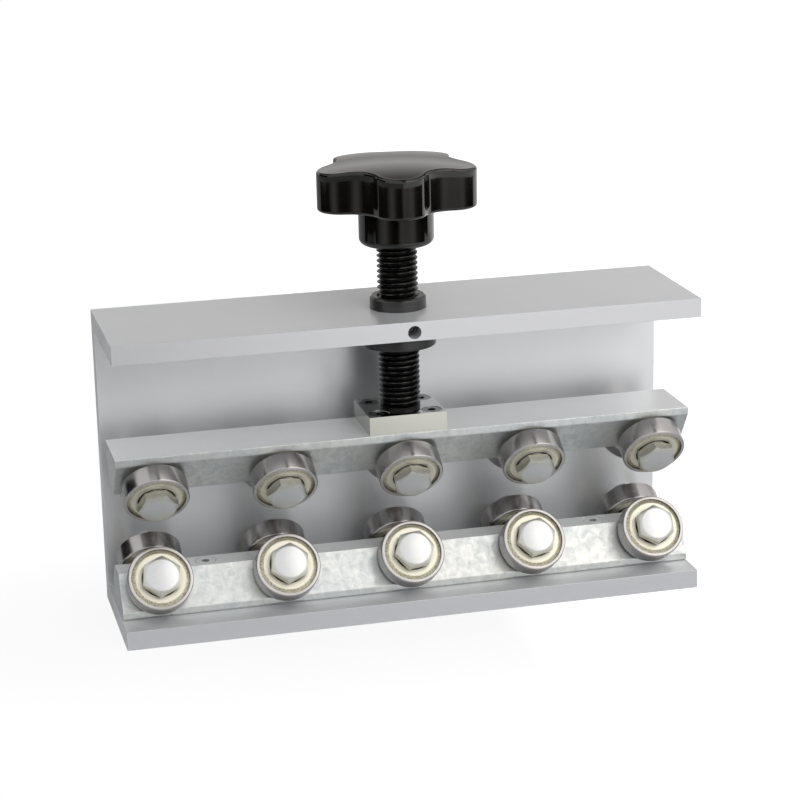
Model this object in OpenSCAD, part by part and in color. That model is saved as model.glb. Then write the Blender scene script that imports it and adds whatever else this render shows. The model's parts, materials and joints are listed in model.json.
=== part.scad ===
// Tube straightener: two facing rows of V-set ball-bearing rollers in a channel, closed by a screw.
// Millimetres. X runs along the tube, Y points to the back plate and Z is up.
// The origin is the middle of the channel's bottom face.

/* [Channel] */
// Length of the channel
channel_l = 200; // [170:1:260]
// Height of the channel
channel_h = 104; // [98:1:130]
// Depth of the channel, from its front edges to its back face
channel_d = 52; // [50:1:70]
// Thickness of the top and bottom flanges
flange_t = 6.5; // [5.5:0.5:9]
// Thickness of the back plate
web_t = 6; // [4:0.5:9]
// Bevel along the channel's outer edges
channel_bevel = 0.6; // [0.2:0.1:1.5]

/* [Roller bars] */
// Width of a bar across its flat side
bar_w = 24.5; // [22:0.5:30]
// Width of the narrow side, between the two sloped faces
strip_w = 8.8; // [8:0.2:10]
// Height of the upright band beside the flat side
band_h = 2.6; // [2:0.2:4]
// Gap between a bar's end and the channel's end
bar_inset = 0.3; // [0:0.1:4]
// Distance from a bar's end to the screw that holds the lower bar down
bar_screw_inset = 30.5; // [26:0.5:36]

/* [Roller rows] */
// Roller stations along a bar
stations = 5; // [3:1:5]
// Distance from the channel's end to the first station
end_margin = 13.4; // [12:0.2:25]
// Tilt of the roller axes above or below the horizontal, degrees
roller_tilt = 34; // [28:1:38]
// How far the bolts sit past the middle of the sloped face, towards the narrow side
bolt_rise = 2; // [0:0.2:2.4]
// Gap between the lower and upper rollers' rims at rest
roller_gap = 8.6; // [8.4:0.2:14]
// Gap between the rear bolt heads and the back plate
rear_gap = 2.2; // [0.5:0.1:5]

/* [Bearings] */
// Bore of a bearing, which the bolt fills
bearing_bore = 8; // [6:0.5:9]
// Outer diameter of a bearing
bearing_od = 22; // [20:0.5:24]
// Width of a bearing
bearing_w = 7; // [6.5:0.5:9]
// Diameter of the balls
ball_d = 3.969; // [3.5:0.001:4.2]
// Balls in a bearing
ball_count = 7; // [5:1:8]
// Height of the raceway's shoulders above the bottom of the groove
race_shoulder = 0.55; // [0.4:0.05:0.8]
// Clearance round a ball, in the raceways and in the cage
ball_gap = 0.05; // [0.04:0.01:0.1]
// Radial thickness of the cage
cage_t = 1.2; // [0.8:0.1:1.6]
// Width of the cage
cage_w = 4.8; // [4.6:0.1:5.2]
// Bevel on the rims of the rings
rim_bevel = 0.45; // [0.2:0.05:0.6]
// Thickness of a shield
shield_t = 0.35; // [0.2:0.05:0.5]
// Depth of a shield's flat below the bearing's face
shield_recess = 0.35; // [0.2:0.05:0.5]
// Drop of a shield's sloped rim
shield_step = 0.35; // [0.2:0.05:0.4]
// Width of a shield's sloped rim
shield_rim = 1.1; // [0.6:0.1:1.4]
// Width of the outer ring's face beside the shield
face_rim = 1.2; // [0.9:0.1:1.5]
// Gap between a shield and the inner ring
shield_gap = 0.25; // [0.1:0.05:0.5]

/* [Bolts and spacers] */
// Hexagon of the bolt heads, across the flats
bolt_head_af = 12; // [11.8:0.1:14]
// Height of a bolt head, with its washer face
bolt_head_h = 4; // [3:0.1:6]
// Height of the washer face under the hexagon
washer_face_h = 0.4; // [0.2:0.1:0.8]
// Diameter of the washer face
washer_face_d = 11.4; // [10:0.1:11.6]
// Diameter of the flat on top of a bolt head
bolt_top_d = 11; // [9:0.1:11.4]
// Gap between a bolt's tip and the middle plane of its bar
bolt_tip_gap = 0.4; // [0.2:0.1:1]
// Thickness of the spacer between a bar and its bearing
spacer_t = 1.4; // [1:0.1:3]
// Outer diameter of a spacer
spacer_d = 11.6; // [10:0.1:12]

/* [Spindle and nut bush] */
// Diameter over the spindle's thread
thread_d = 13.8; // [12:0.1:16]
// Pitch of the thread
thread_pitch = 1.8; // [1.5:0.1:2.5]
// Depth of the thread
thread_depth = 1.1; // [0.8:0.1:1.3]
// Radial clearance between the thread and the nut bush
thread_gap = 0.08; // [0.05:0.01:0.1]
// Diameter of the flange on the spindle's lower end
thrust_d = 18; // [17.5:0.1:18.4]
// Height of that flange
thrust_h = 3; // [2:0.1:3.5]
// Clearance round that flange
thrust_gap = 0.06; // [0.04:0.01:0.1]
// Diameter of the spindle's upper end, inside the knob
stub_d = 11; // [9:0.5:12]
// How far that end stops short of the insert's top
stub_stop = 1; // [0.5:0.1:3]
// Bevel on that end
stub_bevel = 0.5; // [0.2:0.1:1]
// Outer diameter of the nut bush
bush_d = 19; // [17:0.5:22]
// Diameter of the bush's flange under the top flange
bush_flange_d = 25.4; // [23:0.2:28]
// Height of the bush's flange
bush_flange_h = 6.3; // [4:0.1:8]
// Height of the bush above the top flange
bush_rise = 4.2; // [3:0.1:7]
// Bevel on the bush's upper edge
bush_bevel = 0.7; // [0.3:0.1:1]
// Diameter of the grub screw that locks the bush
grub_d = 4.4; // [3:0.1:5]
// Length of the grub screw
grub_l = 8; // [5:0.5:12]
// How far the grub screw lies below the middle of the top flange
grub_drop = 0.4; // [0:0.1:0.5]

/* [Foot plate] */
// Length of the foot plate, along X
plate_l = 26.8; // [26.2:0.2:34]
// Width of the foot plate, along Y
plate_w = 23; // [22.6:0.2:24]
// Height of the foot plate
plate_h = 6.3; // [5.8:0.1:9]
// Spacing of the foot plate's screws along X
plate_screw_x = 18.2; // [18:0.1:18.8]
// Spacing of the foot plate's screws along Y
plate_screw_y = 14.8; // [14.6:0.1:15]

/* [Socket screws] */
// Diameter of the countersunk socket screws
screw_d = 4; // [3:0.1:4.2]
// Diameter of their heads
screw_head_d = 7.2; // [6:0.1:7.6]
// Height of their heads
screw_head_h = 2.2; // [1.6:0.1:2.4]
// Hexagon socket in their heads, across the flats
screw_socket_af = 2.5; // [2:0.1:3]
// Depth of that socket
screw_socket_h = 1.4; // [0.8:0.1:1.6]
// How far the foot plate's screws reach into the upper bar
plate_screw_reach = 4.4; // [3:0.1:4.8]
// How far the lower bar's screws stop short of the channel's bottom face
bar_screw_stop = 1; // [0.5:0.1:3]
// Clearance round a screw, a bolt, the bush and the knob's insert in their holes
fit_gap = 0.02; // [0.01:0.01:0.05]

/* [Knob] */
// Diameter over the knob's lobes
knob_d = 55; // [46:1:63]
// Lobes round the knob
lobe_count = 5; // [4:1:6]
// Radius of a lobe's tip
lobe_r = 8.5; // [7:0.5:10]
// Radius of the valley between two lobes
valley_r = 11; // [8:0.5:14]
// Height of the lobes, with the domed top
lobe_h = 15.6; // [12:0.2:20]
// Height of the dome above the lobes' upper edges
dome_h = 2.4; // [1:0.2:4]
// Rounding of the lobes' edges
lobe_round = 1.2; // [0.8:0.2:3]
// Diameter of the knob's hub
hub_d = 25.4; // [20:0.2:30]
// Height of the hub below the lobes
hub_h = 13.1; // [9:0.1:18]
// Rounding of the hub's lower edge
hub_round = 2.4; // [1:0.2:4]
// Gap between the knob's hub and the nut bush at rest
knob_gap = 17.5; // [10:0.5:30]
// Turn of the knob about the spindle, degrees
knob_turn = -99; // [-180:1:180]
// Outer diameter of the knob's insert
insert_d = 17; // [15:0.5:19]
// Length of the knob's insert
insert_l = 16; // [10:0.5:20]

/* [Hidden] */
$fn = 64;
// Room left past the end of a blind hole
hole_spare = 0.3;
// Overshoot of a cut past a face
cut = 1;
// How far a valley of the knob cuts into the lobes that it would only touch
arc_lap = 0.03;

// Bars: the narrow side's width and the tilt set the height
slope_run = (bar_w - strip_w) / 2;
slope_rise = slope_run / tan(roller_tilt);
bar_h = band_h + slope_rise;
bar_l = channel_l - 2 * bar_inset;
bar_screw_at = bar_l / 2 - bar_screw_inset;

// Bolt seats on the sloped faces, from the bar's middle plane and from its flat side
seat_off = bar_w / 2 - slope_run / 2 - bolt_rise * sin(roller_tilt);
seat_h = band_h + slope_rise / 2 + bolt_rise * cos(roller_tilt);
roller_out = spacer_t + bearing_w;
bolt_d = bearing_bore - 2 * fit_gap;
bolt_engage = (seat_off - bolt_tip_gap - bolt_d / 2 * sin(roller_tilt)) / cos(roller_tilt);
head_corner_r = bolt_head_af / sqrt(3);

// Rows: the rear bolt heads clear the back plate, and the rollers' rims face each other
head_reach = seat_off + (roller_out + bolt_head_h) * cos(roller_tilt) + head_corner_r * sin(roller_tilt);
row_y = channel_d / 2 - web_t - rear_gap - head_reach;
rim_h = seat_h + roller_out * sin(roller_tilt) + bearing_od / 2 * cos(roller_tilt);
upper_z = flange_t + 2 * rim_h + roller_gap;
pitch_x = (channel_l - 2 * end_margin) / (stations - 1);

// Bearings, from the ball circle outwards and inwards
ball_circle_r = (bearing_bore + bearing_od) / 4;
race_r = ball_d / 2 + ball_gap;
inner_land_r = ball_circle_r - ball_d / 2 + race_shoulder;
outer_land_r = ball_circle_r + ball_d / 2 - race_shoulder;
shield_r = bearing_od / 2 - face_rim;
shield_seat = shield_recess + shield_t + shield_step + fit_gap;

// Spindle stack, from the upper bar upwards
plate_top = upper_z + plate_h;
thrust_z = upper_z + thrust_gap;
bush_low = channel_h - flange_t - bush_flange_h;
bush_top = channel_h + bush_rise;
grub_z = channel_h - flange_t / 2 - grub_drop;
knob_z = bush_top + knob_gap;
plate_screw_l = plate_h + plate_screw_reach;
bar_screw_l = bar_h + flange_t - bar_screw_stop;

// Hexagon heads as they happen to stand, front row from left to right, degrees
lower_head_turns = [22, 21, 7, 12, 28];
upper_head_turns = [8, 53, 42, 58, 43];

LOWER = 1;
UPPER = -1;
FRONT = -1;
REAR = 1;
ROWS = [LOWER, UPPER];
SIDES = [FRONT, REAR];

function row_name(row) = row == LOWER ? "lower" : "upper";
function side_name(side) = side == FRONT ? "front" : "rear";
function roller_name(row, side, k) = str(row_name(row), "_", side_name(side), "_roller_", k);
function balls_name(row, side, k) = str(row_name(row), "_", side_name(side), "_balls_", k);
function station_x(k) = (k - (stations + 1) / 2) * pitch_x;
function head_turn(row, side, k) =
    let (turns = row == LOWER ? lower_head_turns : upper_head_turns)
    side == FRONT ? turns[k - 1] : turns[len(turns) - k];

// Places: children stand on a bolt's seat with Z along the bolt, out of the bar
module at_seat(row, side, k) {
    seat_z = row == LOWER ? flange_t + seat_h : upper_z - seat_h;
    translate([station_x(k), row_y + side * seat_off, seat_z])
        rotate([-side * (90 - row * roller_tilt), 0, 0])
            children();
}

module at_seats(row) {
    for (side = SIDES, k = [1:stations])
        at_seat(row, side, k) children();
}

// Children stand on the bearing's inner face
module on_spacer() {
    translate([0, 0, spacer_t]) children();
}

module at_bar_screws() {
    for (side = [-1, 1])
        translate([side * bar_screw_at, row_y, flange_t + bar_h]) children();
}

module at_plate_screws() {
    for (sx = [-1, 1], sy = [-1, 1])
        translate([sx * plate_screw_x / 2, row_y + sy * plate_screw_y / 2, plate_top]) children();
}

// Extrudes an outline drawn in Y and Z along X
module along_x(length) {
    rotate([90, 0, 90]) linear_extrude(length, center = true) children();
}

// Countersunk socket screw hanging from its head's flat top
module socket_screw(length) {
    difference() {
        union() {
            translate([0, 0, -screw_head_h]) cylinder(h = screw_head_h, d1 = screw_d, d2 = screw_head_d);
            translate([0, 0, -length]) cylinder(h = length - screw_head_h, d = screw_d);
        }
        translate([0, 0, -screw_socket_h])
            cylinder(h = screw_socket_h + cut, d = screw_socket_af * 2 / sqrt(3), $fn = 6);
    }
}

// Countersunk hole for that screw, cut down from a face
module screw_hole(depth) {
    translate([0, 0, -screw_head_h])
        cylinder(h = screw_head_h, d1 = screw_d + 2 * fit_gap, d2 = screw_head_d + 2 * fit_gap);
    translate([0, 0, -depth]) cylinder(h = depth, d = screw_d + 2 * fit_gap);
}

module channel_outline() {
    y1 = channel_d / 2;
    z1 = channel_h;
    b = channel_bevel;
    polygon([
        [y1 - b, 0], [y1, b], [y1, z1 - b], [y1 - b, z1],
        [-y1 + b, z1], [-y1, z1 - b], [-y1, z1 - flange_t + b], [-y1 + b, z1 - flange_t],
        [y1 - web_t, z1 - flange_t], [y1 - web_t, flange_t],
        [-y1 + b, flange_t], [-y1, flange_t - b], [-y1, b], [-y1 + b, 0]
    ]);
}

module channel_frame() {
    color("gainsboro")
        difference() {
            along_x(channel_l) channel_outline();
            translate([0, row_y, channel_h - flange_t - cut])
                cylinder(h = flange_t + 2 * cut, d = bush_d + 2 * fit_gap);
            translate([0, row_y, grub_z])
                rotate([90, 0, 0])
                    cylinder(h = channel_d, d = grub_d + 2 * fit_gap);
            at_bar_screws()
                translate([0, 0, -bar_h - flange_t - cut])
                    cylinder(h = flange_t + 2 * cut, d = screw_d + 2 * fit_gap);
        }
}

module nut_bush() {
    bore_r = thread_d / 2 + thread_gap;
    color("dimgray")
        translate([0, row_y, 0])
            rotate_extrude()
                polygon([
                    [bore_r, bush_low], [bush_flange_d / 2, bush_low],
                    [bush_flange_d / 2, bush_low + bush_flange_h], [bush_d / 2, bush_low + bush_flange_h],
                    [bush_d / 2, bush_top - bush_bevel], [bush_d / 2 - bush_bevel, bush_top],
                    [bore_r, bush_top]
                ]);
}

module nut_grub_screw() {
    tip_y = bush_d / 2 + fit_gap;
    color("dimgray")
        translate([0, row_y, grub_z])
            rotate([90, 0, 0])
                difference() {
                    translate([0, 0, tip_y]) cylinder(h = grub_l, d = grub_d);
                    translate([0, 0, tip_y + grub_l - screw_socket_h])
                        cylinder(h = screw_socket_h + cut, d = screw_socket_af * 2 / sqrt(3), $fn = 6);
                }
}

// Bar lying on its flat side, with the blind holes for its row's bolts
module bar_blank() {
    along_x(bar_l)
        polygon([
            [-bar_w / 2, 0], [bar_w / 2, 0], [bar_w / 2, band_h],
            [strip_w / 2, bar_h], [-strip_w / 2, bar_h], [-bar_w / 2, band_h]
        ]);
}

module bolt_holes(row) {
    depth = bolt_engage + hole_spare;
    at_seats(row)
        translate([0, 0, -depth]) cylinder(h = depth + cut, d = bearing_bore);
}

module lower_bar() {
    color("silver")
        difference() {
            translate([0, row_y, flange_t]) bar_blank();
            bolt_holes(LOWER);
            at_bar_screws() screw_hole(bar_h + cut);
        }
}

module upper_bar() {
    color("silver")
        difference() {
            translate([0, row_y, upper_z]) mirror([0, 0, 1]) bar_blank();
            bolt_holes(UPPER);
            at_plate_screws() screw_hole(plate_screw_l + hole_spare);
        }
}

module lower_bar_screws() {
    color("slategray") at_bar_screws() socket_screw(bar_screw_l);
}

module foot_plate_screws() {
    color("slategray") at_plate_screws() socket_screw(plate_screw_l);
}

// Hexagon bolt standing on its seat: shank into the bar, head on the bearing
module hex_bolt(turn) {
    cone_r = head_corner_r + cut;
    cone_drop = (cone_r - bolt_top_d / 2) * tan(30);
    translate([0, 0, -bolt_engage]) cylinder(h = bolt_engage + roller_out + washer_face_h, d = bolt_d);
    translate([0, 0, roller_out]) {
        cylinder(h = washer_face_h, d = washer_face_d);
        intersection() {
            translate([0, 0, washer_face_h])
                rotate(turn) cylinder(h = bolt_head_h - washer_face_h, r = head_corner_r, $fn = 6);
            rotate_extrude()
                polygon([
                    [0, 0], [cone_r, 0], [cone_r, bolt_head_h - cone_drop],
                    [bolt_top_d / 2, bolt_head_h], [0, bolt_head_h]
                ]);
        }
    }
}

module bolts(row) {
    color("lightgray")
        for (side = SIDES, k = [1:stations])
            at_seat(row, side, k) hex_bolt(head_turn(row, side, k));
}

module spacers(row) {
    color("silver")
        at_seats(row)
            difference() {
                cylinder(h = spacer_t, d = spacer_d);
                translate([0, 0, -cut]) cylinder(h = spacer_t + 2 * cut, d = bearing_bore);
            }
}

module inner_rings(row) {
    bore_r = bearing_bore / 2;
    b = rim_bevel / 2;
    color("silver")
        at_seats(row) on_spacer()
            rotate_extrude()
                difference() {
                    polygon([
                        [bore_r + b, 0], [inner_land_r, 0], [inner_land_r, bearing_w],
                        [bore_r + b, bearing_w], [bore_r, bearing_w - b], [bore_r, b]
                    ]);
                    translate([ball_circle_r, bearing_w / 2]) circle(r = race_r);
                }
}

// Half-section of a shield whose flat lies below the face at height zero
module shield_section() {
    flat_z = -shield_recess;
    rim_z = flat_z - shield_step;
    r0 = inner_land_r + shield_gap;
    r1 = shield_r - fit_gap;
    polygon([
        [r0, flat_z], [r1 - shield_rim, flat_z], [r1, rim_z],
        [r1, rim_z - shield_t], [r1 - shield_rim, flat_z - shield_t], [r0, flat_z - shield_t]
    ]);
}

module outer_ring() {
    r1 = bearing_od / 2;
    w = bearing_w;
    rotate_extrude()
        difference() {
            polygon([
                [outer_land_r, shield_seat], [shield_r, shield_seat], [shield_r, 0],
                [r1 - rim_bevel, 0], [r1, rim_bevel], [r1, w - rim_bevel], [r1 - rim_bevel, w],
                [shield_r, w], [shield_r, w - shield_seat], [outer_land_r, w - shield_seat]
            ]);
            translate([ball_circle_r, w / 2]) circle(r = race_r);
        }
}

// The turning part of a bearing: its outer ring and both shields
module roller(row, side, k) {
    color("lightsteelblue") at_seat(row, side, k) on_spacer() {
        outer_ring();
        translate([0, 0, bearing_w]) rotate_extrude() shield_section();
        mirror([0, 0, 1]) rotate_extrude() shield_section();
    }
}

// The balls of a bearing in their cage
module balls(row, side, k) {
    color("gold") at_seat(row, side, k) on_spacer() translate([0, 0, bearing_w / 2]) {
        ball_ring() sphere(d = ball_d);
        difference() {
            rotate_extrude()
                translate([ball_circle_r - cage_t / 2, -cage_w / 2]) square([cage_t, cage_w]);
            ball_ring()
                rotate([0, 90, 0]) cylinder(h = 2 * cage_t, r = race_r, center = true);
        }
    }
}

module ball_ring() {
    for (n = [0:ball_count - 1])
        rotate(n * 360 / ball_count) translate([ball_circle_r, 0, 0]) children();
}

module foot_plate() {
    pocket_h = thrust_h + 2 * thrust_gap;
    color("lightgray")
        difference() {
            translate([-plate_l / 2, row_y - plate_w / 2, upper_z]) cube([plate_l, plate_w, plate_h]);
            translate([0, row_y, upper_z - cut]) {
                cylinder(h = plate_h + 2 * cut, d = thread_d + 2 * thrust_gap);
                cylinder(h = pocket_h + cut, d = thrust_d + 2 * thrust_gap);
            }
            at_plate_screws() screw_hole(plate_h + cut);
        }
}

// Thread as a row of grooves from z0 up to z1: points of the half-section, in rising order
function thread_points(z0, z1) =
    let (
        crest = thread_d / 2,
        root = crest - thread_depth,
        turns = floor((z1 - z0) / thread_pitch),
        steps = [[crest, 0], [crest, 1 / 8], [root, 1 / 2], [root, 5 / 8]]
    )
    [for (n = [0:turns - 1], s = steps) [s[0], z0 + (n + s[1]) * thread_pitch]];

module spindle() {
    shoulder_z = knob_z - thread_pitch;
    top_z = knob_z + insert_l - stub_stop;
    color("black")
        translate([0, row_y, 0])
            rotate_extrude()
                polygon(concat(
                    [[0, thrust_z], [thrust_d / 2, thrust_z], [thrust_d / 2, thrust_z + thrust_h]],
                    [[thread_d / 2, thrust_z + thrust_h]],
                    thread_points(plate_top + thread_pitch, shoulder_z),
                    [[thread_d / 2 - thread_depth, shoulder_z], [thread_d / 2 - thread_depth, knob_z]],
                    [[stub_d / 2, knob_z], [stub_d / 2, top_z - stub_bevel]],
                    [[stub_d / 2 - stub_bevel, top_z], [0, top_z]]
                ));
}

module knob_insert() {
    color("darkgoldenrod")
        translate([0, row_y, knob_z])
            difference() {
                cylinder(h = insert_l, d = insert_d);
                translate([0, 0, -cut]) cylinder(h = insert_l + 2 * cut, d = stub_d + 2 * fit_gap);
            }
}

// Round lobes joined by round valleys: each valley's circle touches the two lobes beside it
module star_outline() {
    half = 180 / lobe_count;
    lobe_at = knob_d / 2 - lobe_r;
    valley_at = lobe_at * cos(half) + sqrt(pow(lobe_r + valley_r, 2) - pow(lobe_at * sin(half), 2));
    function at(n) = n % 2 == 0 ? lobe_at : valley_at;
    difference() {
        union() {
            polygon([for (n = [0:2 * lobe_count - 1]) at(n) * [cos(n * half), sin(n * half)]]);
            for (n = [0:lobe_count - 1]) rotate(2 * n * half) translate([lobe_at, 0]) circle(r = lobe_r);
        }
        for (n = [0:lobe_count - 1])
            rotate((2 * n + 1) * half) translate([valley_at, 0]) circle(r = valley_r + arc_lap);
    }
}

// Half-section of a disc with a round lower edge
module round_foot_section(r, h, edge) {
    square([r - edge, h]);
    translate([0, edge]) square([r, h - edge]);
    translate([r - edge, edge]) circle(r = edge);
}

// The same with a round upper edge too
module round_disc_section(r, h, edge) {
    square([r - edge, h]);
    translate([0, edge]) square([r, h - 2 * edge]);
    for (z = [edge, h - edge]) translate([r - edge, z]) circle(r = edge);
}

module star_knob() {
    dome_r = (pow(knob_d / 2, 2) + pow(dome_h, 2)) / (2 * dome_h);
    color([0.05, 0.05, 0.05])
        translate([0, row_y, knob_z])
            difference() {
                union() {
                    translate([0, 0, hub_h])
                        intersection() {
                            rotate(knob_turn) linear_extrude(lobe_h) star_outline();
                            rotate_extrude() round_disc_section(knob_d / 2, lobe_h, lobe_round);
                            translate([0, 0, lobe_h - dome_r]) sphere(r = dome_r);
                        }
                    rotate_extrude() round_foot_section(hub_d / 2, hub_h + lobe_h / 2, hub_round);
                }
                translate([0, 0, -cut]) cylinder(h = insert_l + cut + fit_gap, d = insert_d + 2 * fit_gap);
            }
}

channel_frame();
nut_bush();
nut_grub_screw();
lower_bar();
lower_bar_screws();
bolts(LOWER);  // lower_bolts
spacers(LOWER);  // lower_spacers
inner_rings(LOWER);  // lower_inner_rings
upper_bar();
bolts(UPPER);  // upper_bolts
spacers(UPPER);  // upper_spacers
inner_rings(UPPER);  // upper_inner_rings
foot_plate();
foot_plate_screws();
spindle();
knob_insert();
star_knob();
for (row = ROWS, side = SIDES, k = [1:stations])
    roller(row, side, k);
for (row = ROWS, side = SIDES, k = [1:stations])
    balls(row, side, k);
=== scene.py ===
"""Looks of the tube straightener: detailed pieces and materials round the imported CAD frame.

Metres, in the frame's own axes: X along the tube, Y to the channel's back plate, Z up.
"""
import json
from math import atan2, cos, pi, radians, sin, sqrt, tan

import bmesh
import bpy
from mathutils import Matrix, Vector


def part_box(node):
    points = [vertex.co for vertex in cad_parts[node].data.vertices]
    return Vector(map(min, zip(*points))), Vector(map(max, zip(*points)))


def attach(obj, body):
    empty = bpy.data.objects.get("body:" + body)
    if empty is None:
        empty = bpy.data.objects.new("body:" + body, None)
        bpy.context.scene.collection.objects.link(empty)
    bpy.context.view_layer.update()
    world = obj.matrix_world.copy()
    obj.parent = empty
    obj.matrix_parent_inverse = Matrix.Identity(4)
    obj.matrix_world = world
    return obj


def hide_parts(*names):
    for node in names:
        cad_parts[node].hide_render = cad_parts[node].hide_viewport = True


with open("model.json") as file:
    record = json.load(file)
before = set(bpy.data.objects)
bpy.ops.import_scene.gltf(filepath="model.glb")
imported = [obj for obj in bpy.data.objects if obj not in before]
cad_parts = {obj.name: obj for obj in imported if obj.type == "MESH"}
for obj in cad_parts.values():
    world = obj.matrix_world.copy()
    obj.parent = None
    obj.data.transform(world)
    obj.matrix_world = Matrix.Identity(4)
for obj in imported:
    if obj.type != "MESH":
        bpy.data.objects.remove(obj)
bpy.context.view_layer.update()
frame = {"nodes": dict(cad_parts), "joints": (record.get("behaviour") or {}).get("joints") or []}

# Sizes that the CAD model also has
MM = 0.001
FLANGE_T = 6.5 * MM
WEB_T = 6 * MM
BAR_W = 24.5 * MM
STRIP_W = 8.8 * MM
BAND_H = 2.6 * MM
BEARING_OD = 22 * MM
BEARING_W = 7 * MM
SPACER_T = 1.4 * MM
HEAD_AF = 12 * MM
HEAD_H = 4 * MM
WASHER_FACE_R = 5.7 * MM
WASHER_FACE_H = 0.4 * MM
BOLT_R = 3.98 * MM
SCREW_R = 2 * MM
SCREW_HEAD_R = 3.6 * MM
SCREW_HEAD_H = 2.2 * MM
SOCKET_AF = 2.5 * MM
SOCKET_H = 1.4 * MM
THREAD_R = 6.9 * MM
THREAD_PITCH = 1.8 * MM
THREAD_DEPTH = 1.1 * MM
THRUST_R = 9 * MM
THRUST_H = 3 * MM
STUB_R = 5.5 * MM
BUSH_R = 9.5 * MM
BUSH_FLANGE_R = 12.7 * MM
BUSH_FLANGE_H = 6.3 * MM
BUSH_BORE_R = 6.98 * MM
PLATE_SCREW_X = 18.2 * MM
PLATE_SCREW_Y = 14.8 * MM
BAR_SCREW_X = 69.2 * MM
GRUB_HOLE_R = 2.22 * MM
HUB_R = 12.7 * MM
HUB_H = 13.1 * MM
HUB_ROUND = 2.4 * MM
INSERT_R = 8.52 * MM
LOBE_R = 8.5 * MM
LOBE_AT = 19 * MM
VALLEY_R = 11 * MM
DOME_H = 2.4 * MM
KNOB_TURN = radians(-99)
STATIONS = range(1, 6)
LOWER_HEAD_TURNS = [22, 21, 7, 12, 28]
UPPER_HEAD_TURNS = [8, 53, 42, 58, 43]

# The looks' own sizes: edges, hidden lengths, clearances, and the length of a cutter that goes right through
BOLT_ENGAGE = 5.5 * MM
HEAD_TOP_R = 5.3 * MM
CHANNEL_ROUND = 0.5 * MM
BAR_ROUND = 0.35 * MM
BAR_BROKEN_EDGE = 0.6 * MM
PLATE_ROUND = 0.22 * MM
LOBE_ROUND = 1.1 * MM
BAR_SCREW_L = 19.5 * MM
PLATE_SCREW_L = 10.5 * MM
SCREW_SINK = 0.1 * MM
HOLE_GAP = 0.05 * MM
RUN_GAP = 0.06 * MM
THROUGH = 30 * MM

# Places read from the frame
CHANNEL_LOW, CHANNEL_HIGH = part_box("channel_frame")
PLATE_LOW, PLATE_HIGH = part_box("foot_plate")
KNOB_LOW, KNOB_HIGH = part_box("star_knob")
SPINDLE_LOW, SPINDLE_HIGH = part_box("spindle")
BUSH_LOW, BUSH_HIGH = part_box("nut_bush")
JOINTS = {joint["name"]: joint for joint in frame["joints"]}
AXIS_Y = JOINTS["spindle_turn"]["pos_m"][1]
THREAD_LOW = PLATE_HIGH.z + 1.2 * MM
THREAD_HIGH = KNOB_LOW.z + MM
BAR_SCREW_SPOTS = [(x, AXIS_Y) for x in (-BAR_SCREW_X, BAR_SCREW_X)]
PLATE_SCREW_SPOTS = [(x, AXIS_Y + y) for x in (-PLATE_SCREW_X / 2, PLATE_SCREW_X / 2)
                     for y in (-PLATE_SCREW_Y / 2, PLATE_SCREW_Y / 2)]


# Mesh helpers

def piece_from(name, bm):
    """A linked object made of a bmesh, with its faces turned outwards."""
    bmesh.ops.remove_doubles(bm, verts=bm.verts, dist=1e-7)
    bmesh.ops.recalc_face_normals(bm, faces=bm.faces)
    mesh = bpy.data.meshes.new(name)
    bm.to_mesh(mesh)
    bm.free()
    piece = bpy.data.objects.new(name, mesh)
    bpy.context.scene.collection.objects.link(piece)
    return piece


def shade(piece, sharp):
    """Smooth shading, with a crease at every edge sharper than that many degrees."""
    bm = bmesh.new()
    bm.from_mesh(piece.data)
    for face in bm.faces:
        face.smooth = True
    for edge in bm.edges:
        edge.smooth = len(edge.link_faces) != 2 or edge.calc_face_angle() < radians(sharp)
    bm.to_mesh(piece.data)
    bm.free()
    return piece


def settle(piece):
    """Applies the piece's modifiers to its mesh."""
    graph = bpy.context.evaluated_depsgraph_get()
    settled = bpy.data.meshes.new_from_object(piece.evaluated_get(graph))
    old = piece.data
    piece.modifiers.clear()
    piece.data = settled
    bpy.data.meshes.remove(old)
    settled.name = piece.name
    return piece


def cut(piece, *tools):
    """Cuts the tools' shapes out of a piece."""
    for tool in tools:
        hole = piece.modifiers.new("cut", "BOOLEAN")
        hole.operation = "DIFFERENCE"
        hole.solver = "EXACT"
        hole.object = tool
    settle(piece)
    for tool in tools:
        bpy.data.objects.remove(tool)
    return piece


def bevel(piece, width, steps=3):
    """Rounds the piece's hard edges, and shades the flats between them flat."""
    edge = piece.modifiers.new("bevel", "BEVEL")
    edge.width = width
    edge.segments = steps
    edge.limit_method = "ANGLE"
    edge.angle_limit = radians(30)
    edge.use_clamp_overlap = True
    settle(piece)
    shade(piece, 50)
    normals = piece.modifiers.new("normals", "WEIGHTED_NORMAL")
    normals.keep_sharp = True
    normals.weight = 80
    return settle(piece)


def soften(points, radius, closed=True, steps=4):
    """An outline with rounded corners. radius is one size, or a list with one for each point."""
    out = []
    last = len(points) - 1
    for i, point in enumerate(points):
        r = radius[i] if isinstance(radius, (list, tuple)) else radius
        if r == 0 or (not closed and i in (0, last)):
            out.append(tuple(point))
            continue
        corner = Vector(point)
        before = Vector(points[i - 1]) - corner
        after = Vector(points[(i + 1) % len(points)]) - corner
        half = before.angle(after) / 2
        reach = min(r / tan(half), 0.48 * before.length, 0.48 * after.length)
        u, v = before.normalized(), after.normalized()
        centre = corner + (u + v).normalized() * reach / cos(half)
        first, final = corner + u * reach - centre, corner + v * reach - centre
        sweep = pi - 2 * half
        for k in range(steps + 1):
            a = sweep * k / steps
            arm = (first * sin(sweep - a) + final * sin(a)) / sin(sweep)
            out.append(tuple(centre + arm))
    return out


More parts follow.
